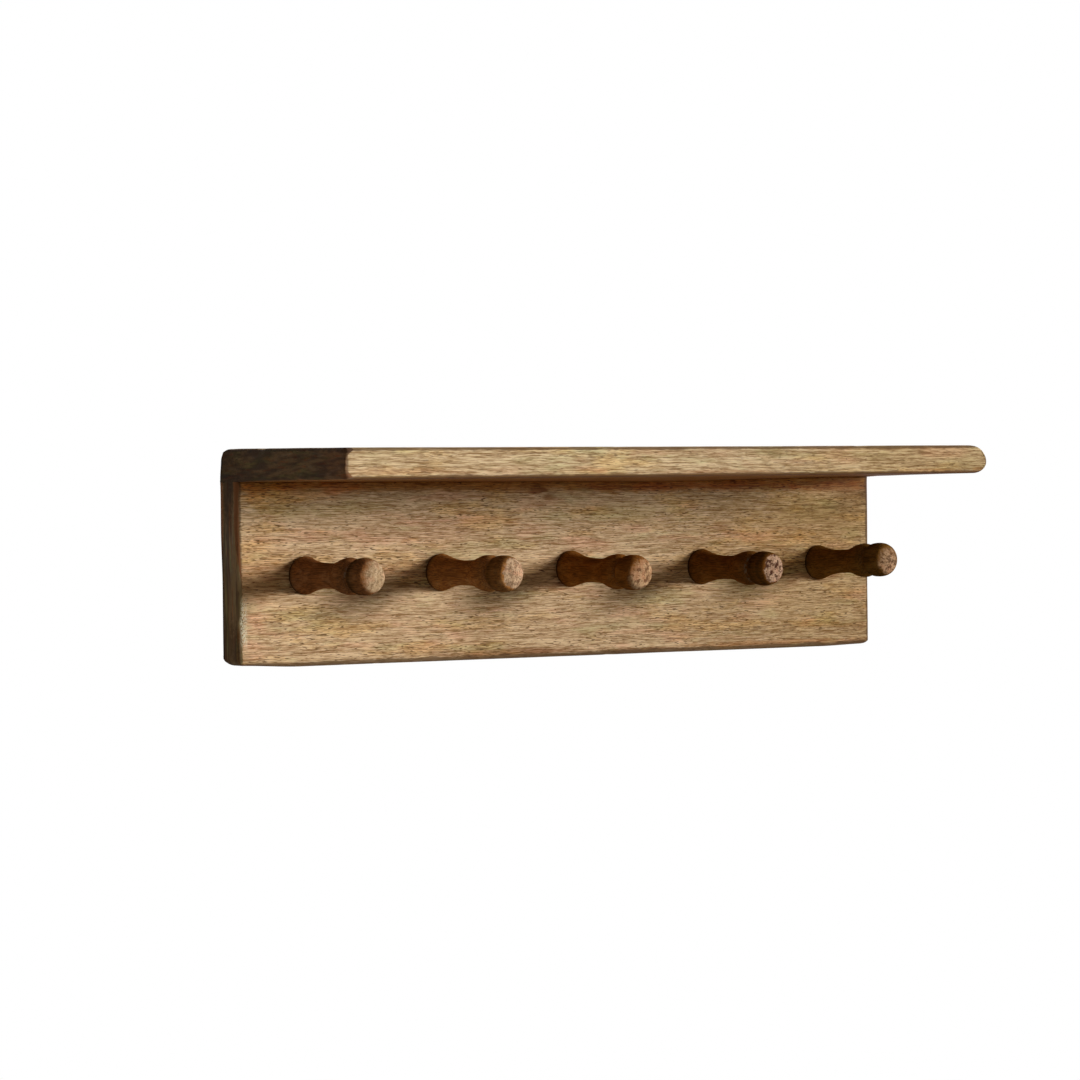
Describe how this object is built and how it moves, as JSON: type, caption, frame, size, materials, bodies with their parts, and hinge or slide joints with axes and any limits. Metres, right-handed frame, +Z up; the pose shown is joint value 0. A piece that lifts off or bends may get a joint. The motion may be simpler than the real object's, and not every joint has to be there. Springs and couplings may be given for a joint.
{
  "type": "peg rail with shelf",
  "caption": "Wall-hung wooden peg rail: a back board with a row of turned pegs and a full-length shelf on its upper edge, hung on keyhole plates.",
  "frame": {"origin": "on the wall plane, halfway between the entry holes of the two keyhole hangers", "axes": "+X along the rail to the right as seen from the front, -Y out of the wall towards the viewer, +Z up"},
  "size_m": [0.6, 0.16, 0.155],
  "materials": {
    "plank_wood": "oiled hardwood planks, honey tan with dark pores and hand-softened edges",
    "peg_wood": "dark red-brown turned wood, waxed, with pale end grain at the tips",
    "dowel_wood": "plain beech dowel",
    "hanger_steel": "zinc-plated steel plate",
    "screw_steel": "yellow zinc-plated screw"
  },
  "bodies": {
    "root": {"back_board": "plank_wood", "shelf": "plank_wood", "peg_1": "peg_wood", "peg_2": "peg_wood", "peg_3": "peg_wood", "peg_4": "peg_wood", "peg_5": "peg_wood", "shelf_dowels": "dowel_wood", "hanger_plate_left": "hanger_steel", "hanger_plate_right": "hanger_steel", "hanger_screws": "screw_steel"}
  },
  "joints": []
}
